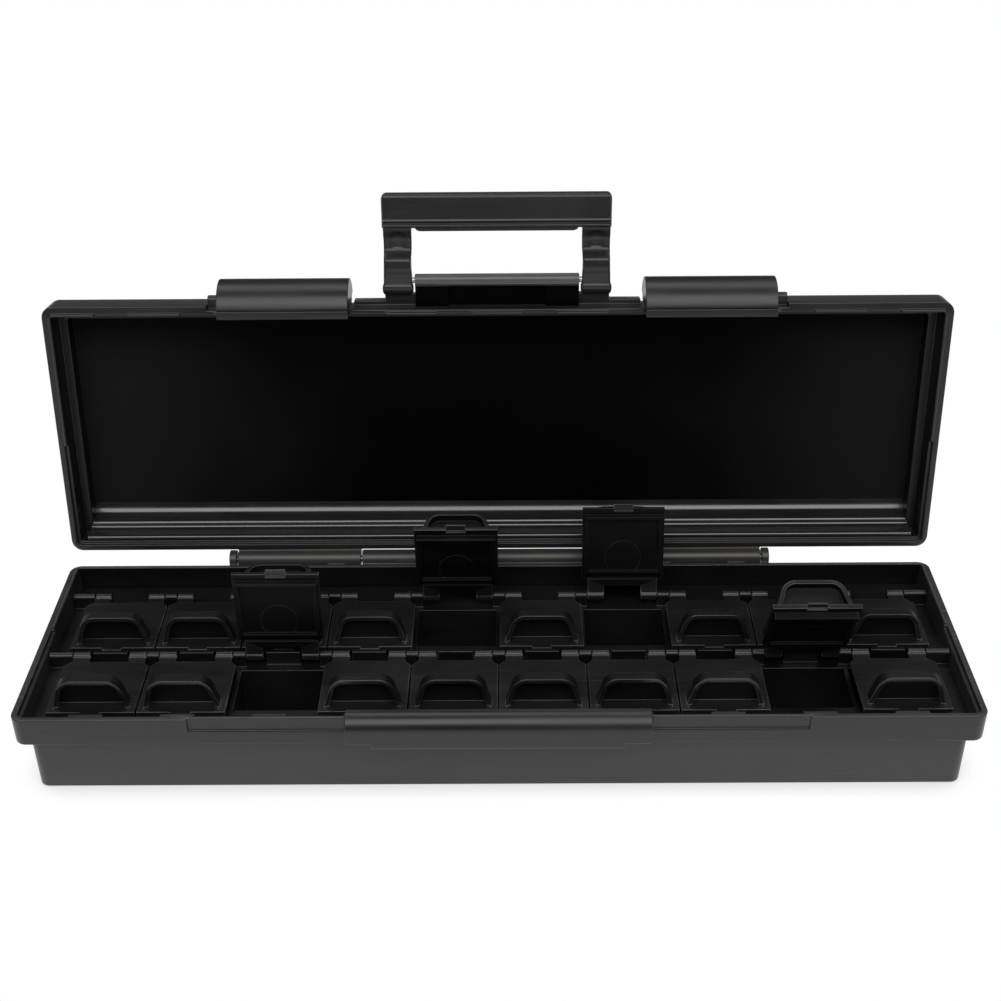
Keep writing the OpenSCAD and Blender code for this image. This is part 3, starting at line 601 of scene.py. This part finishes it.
# The inside of the cover is painted a little greyer towards its two ends, a painted reflection of
# the light at the sides, with a cloudy border.
tree = cover_painted_shade.node_tree
shader = tree.nodes["Principled BSDF"]
deep_colour = shader.inputs["Base Color"].links[0].from_socket
side_light_colour = (0.013, 0.0126, 0.013)
cloud_reach = 0.05
grey_from = 0.055
grey_to = 0.15
place = on_object(tree)
to_side = maths(tree, "ABSOLUTE", add(tree, "ShaderNodeSeparateXYZ", {0: place}).outputs["X"])
ragged = maths(tree, "MULTIPLY_ADD", noise(tree, place, 22.0, 3.0), cloud_reach, to_side)
painted_side_light = ramp(tree, ragged, grey_from, grey_to, smooth=True)
tree.links.new(mix_colours(tree, painted_side_light, deep_colour, side_light_colour), shader.inputs["Base Color"])

# The bar that carries the handle, the web under it and the inside of the panel have their places
# on the closed cover, which stands open at rest.
cover_open = -math.radians(joints["cover"]["range_deg"][0])
to_closed = (Matrix.Translation((0, hinge_back, rim_top)) @ Matrix.Rotation(cover_open, 4, "X")
             @ Matrix.Translation((0, -hinge_back, -rim_top)))
from_closed = to_closed.inverted()
bar_y = -44.3 * MM
bar_z = 30.2 * MM
bar_reach = 1.95 * MM
web_half = 19.0 * MM
panel_face = rim_top + 12.8 * MM
panel_deep = rim_top + 13.0 * MM


def cover_look(at, out):
    """The look of a face of the cover, from its middle."""
    shut = to_closed @ at
    if on_barrel(at):
        return barrel_painted_highlight
    # The bar: a painted highlight.
    if math.hypot(shut.y - bar_y, shut.z - bar_z) < bar_reach:
        return bar_painted_highlight
    # The web under the bar: painted shade.
    if abs(shut.x) < web_half and shut.y < past_front:
        return cover_painted_shade
    within_walls = abs(shut.x) < tray_half.x + margin and abs(shut.y) < tray_half.y + margin
    if not within_walls or not rim_top + margin < shut.z < panel_deep:
        return shell_black
    # The panel and the walls inside the cover: painted shade.
    return cover_painted_shade if shut.z > panel_face else wall_painted_shade


moulding("cover", "cover",
         (shell_black, cover_painted_shade, barrel_painted_highlight, wall_painted_shade, bar_painted_highlight), cover_look,
         corner=0.3 * MM)


def join_rings(mesh, rings):
    """Closed rings of points, joined into one skin with both ends capped."""
    rows = [[mesh.verts.new(point) for point in ring] for ring in rings]
    for here, there in zip(rows, rows[1:]):
        for k in range(len(here)):
            nxt = (k + 1) % len(here)
            mesh.faces.new((here[k], here[nxt], there[nxt], there[k]))
    mesh.faces.new(rows[0][::-1])
    mesh.faces.new(rows[-1])


def drawn_out(outline, ends):
    """One outline, its points y and z in mm on the closed cover, from one x to another."""
    mould = bmesh.new()
    join_rings(mould, [[from_closed @ (Vector((x, y, z)) * MM) for y, z in outline]
                       for x in ends])
    bmesh.ops.recalc_face_normals(mould, faces=mould.faces)
    return mould


# The thick inner edge along the hinge, with the long polished radii that catch the light. Its
# colour is painted a little paler than the walls, as a painted highlight.
edge_half = 127.2
edge_outline = [(26.4, 39.3), (26.8, 39.14), (28.0, 38.95), (28.9, 38.65), (29.7, 38.2),
                (30.3, 37.6), (30.75, 36.8), (31.0, 35.9), (31.1, 35.2), (31.25, 34.6),
                (31.6, 34.1), (32.1, 33.8), (32.8, 33.7), (33.3, 33.4), (33.6, 32.8),
                (33.65, 28.6), (33.85, 27.9), (34.4, 27.55), (35.4, 27.5), (35.4, 39.3)]
inner_edge = drawn_out(edge_outline, (-edge_half, edge_half))
for face in inner_edge.faces:
    face.smooth = len(face.verts) == 4
even_shading(add_piece("cover_inner_edge", inner_edge, (edge_painted_highlight,), "cover"))


# ---- Latches ----
# Two snap latches of the same black plastic, each a curved shell moulded in one piece, with a thin
# plate that closes its inner end. It turns on a steel pin in the front wall of the cover, and its
# lower edge hooks under the rim of the base.

# The plate follows the inside of the curve and is straight towards the case. Its sizes are in mm
# on the closed cover, and the turns at which it follows the curve are in degrees.
curve_y = -37.1
curve_z = 25.0
curve_r = 7.6
plate_turns = range(116, 257, 7)
straight_y = -38.35
plate_corners = [(straight_y, 18.6), (straight_y, 29.0), (-39.8, 30.6)]
plate_x = 42.12
plate_t = 0.6

plate_outline = []
for turn in plate_turns:
    y = curve_y + curve_r * math.cos(math.radians(turn))
    z = curve_z + curve_r * math.sin(math.radians(turn))
    plate_outline.append((min(y, straight_y), z))
plate_outline += plate_corners

for latch, sign in (("latch_left", -1), ("latch_right", 1)):
    moulding(latch, latch, (shell_black,), lambda at, out: shell_black,
             corner=0.3 * MM)
    plate = drawn_out(plate_outline, (sign * plate_x, sign * (plate_x + plate_t)))
    add_piece(latch + "_end", plate, (shell_black,), latch)


# ---- Handle ----
# A folding handle, moulded in one piece: a grip with two ridges and a lip along its lower edge,
# and two slightly waisted arms, scooped out in front and thicker towards their feet. Each arm has
# a round dish where the ejector pushed it out, and its foot turns on a pin in front of the cover.

handle_pivot = Vector(joints["handle"]["pos_m"])
from_upright = cover_open - math.pi / 2
along_handle = Vector((0, math.sin(from_upright), math.cos(from_upright)))
to_viewer = Vector((0, -along_handle.z, along_handle.y))


def on_handle(x, up, out):
    """A point of the handle: across, up from its pin, and out from its middle, all in mm."""
    return handle_pivot + (Vector((x, 0, 0)) + along_handle * up + to_viewer * out) * MM


handle_mould = bmesh.new()

# The grip is one profile, up and out, with its ends rounded.
grip_half = 32.6
grip_end_r = 1.5
grip_top = 24.6
grip_profile = [(16.0, -2.0), (23.7, -2.0), (24.3, -1.75), (24.6, -1.1), (24.6, 0.9),
                (24.4, 1.55), (23.9, 1.95), (23.2, 2.05), (17.75, 2.05), (17.5, 2.2), (17.2, 2.35),
                (16.9, 2.25), (16.7, 1.95), (16.5, 1.8), (16.3, 1.85), (16.1, 2.15), (15.85, 2.3),
                (15.5, 2.25), (15.25, 2.0), (15.05, 1.5), (15.0, 0.8), (15.0, -1.2), (15.3, -1.8)]
grip_insets = [0.0, 0.12, 0.4, 0.8, 1.2, 1.5]
thin_end = 0.35
thin_reach = 0.5
grip_rings = []
for side, insets in ((-1, grip_insets), (1, grip_insets[::-1])):
    for inset in insets:
        short = grip_end_r - math.sqrt(grip_end_r ** 2 - (grip_end_r - inset) ** 2)
        thin = 1 - thin_end * max(0.0, 1 - inset / thin_reach) ** 2
        grip_rings.append([on_handle(side * (grip_half - inset), min(up, grip_top - short),
                                     out * thin) for up, out in grip_profile])
join_rings(handle_mould, grip_rings)

# The lip hangs from the lower edge of the grip. Each layer of it, from back to front, has how far
# out it lies, how wide it is and how far it hangs.
lip_top = 15.4
lip_outline = [(-23.4, lip_top), (-23.2, 14.9), (-22.7, 14.4), (-21.9, 14.15), (21.9, 14.15),
               (22.7, 14.4), (23.2, 14.9), (23.4, lip_top)]
lip_layers = ((-1.4, 0.995, 0.8), (-1.2, 1, 1), (1.25, 1, 1), (1.5, 0.995, 0.8))
join_rings(handle_mould, [[on_handle(x * wide, lip_top - (lip_top - up) * hang, out)
                           for x, up in lip_outline] for out, wide, hang in lip_layers])

# Stations of an arm, from the grip down: height, inner and outer edge, back and front face.
arm_stations = [(16.5, 24.3, 32.5, -1.5, 1.4), (15.4, 24.3, 32.45, -1.5, 1.1),
                (11.0, 24.35, 32.4, -1.5, -0.45), (9.2, 24.4, 32.4, -1.5, -0.55),
                (5.6, 24.6, 32.4, -1.4, 2.3), (3.9, 24.6, 32.45, -1.4, 2.4),
                (1.0, 24.5, 32.6, -1.7, 1.75),
                (-0.9, 24.45, 32.7, -1.75, 1.4), (-1.5, 24.2, 33.0, -1.75, 1.8),
                (-2.3, 24.15, 33.05, -1.6, 1.75), (-3.2, 24.2, 33.0, -1.3, 1.35),
                (-3.9, 24.4, 32.8, -0.8, 0.8), (-4.2, 24.7, 32.5, -0.3, 0.3)]
arm_top = arm_stations[0][0]
arm_foot = arm_stations[-1][0]
arm_step = 0.35
arm_across = 18
arm_edge_r = 0.7
dish_up = 11.4
dish_r = 2.6
dish_deep = 0.3
dish_wall = 2.2


def eased(t):
    return t * t * (3 - 2 * t)


def arm_station(up):
    """The edges and faces of an arm at one height, read smoothly between two stations."""
    for high, low in zip(arm_stations, arm_stations[1:]):
        if high[0] >= up >= low[0]:
            t = eased((high[0] - up) / (high[0] - low[0]))
            return [h + (l - h) * t for h, l in zip(high[1:], low[1:])]


def arm_ring(side, up):
    """One ring of points round an arm, across its front face and back across its rear face."""
    inner, outer, back, front = arm_station(up)
    middle = (inner + outer) / 2
    ring = []
    for face, level in ((1, front), (-1, back)):
        for k in range(arm_across + 1):
            t = eased(k / arm_across)
            x = inner + (outer - inner) * (t if face > 0 else 1 - t)
            from_edge = min(x - inner, outer - x)
            short = max(arm_edge_r - from_edge, 0)
            fall = arm_edge_r - math.sqrt(max(arm_edge_r ** 2 - short ** 2, 0))
            out = level - face * min(fall, abs(level))
            off = math.hypot(x - middle, up - dish_up) / dish_r
            if face > 0 and off < 1:
                out -= dish_deep * min(1.0, dish_wall * (1 - off * off))
            ring.append(on_handle(side * x, up, out))
    return ring if side > 0 else ring[::-1]


arm_heights = [arm_top - arm_step * k for k in range(int((arm_top - arm_foot) / arm_step) + 1)]
arm_heights.append(arm_foot)
for side in (-1, 1):
    join_rings(handle_mould, [arm_ring(side, up) for up in arm_heights])

handle_weld = 0.0001 * MM
crease_deg = 40.0
bmesh.ops.remove_doubles(handle_mould, verts=handle_mould.verts, dist=handle_weld)
bmesh.ops.recalc_face_normals(handle_mould, faces=handle_mould.faces)
for face in handle_mould.faces:
    face.smooth = True
for edge in handle_mould.edges:
    edge.smooth = len(edge.link_faces) != 2 or edge.calc_face_angle() < math.radians(crease_deg)
handle = add_piece("handle_moulding", handle_mould, (shell_black,), "handle")
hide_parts("handle")
even_shading(handle)
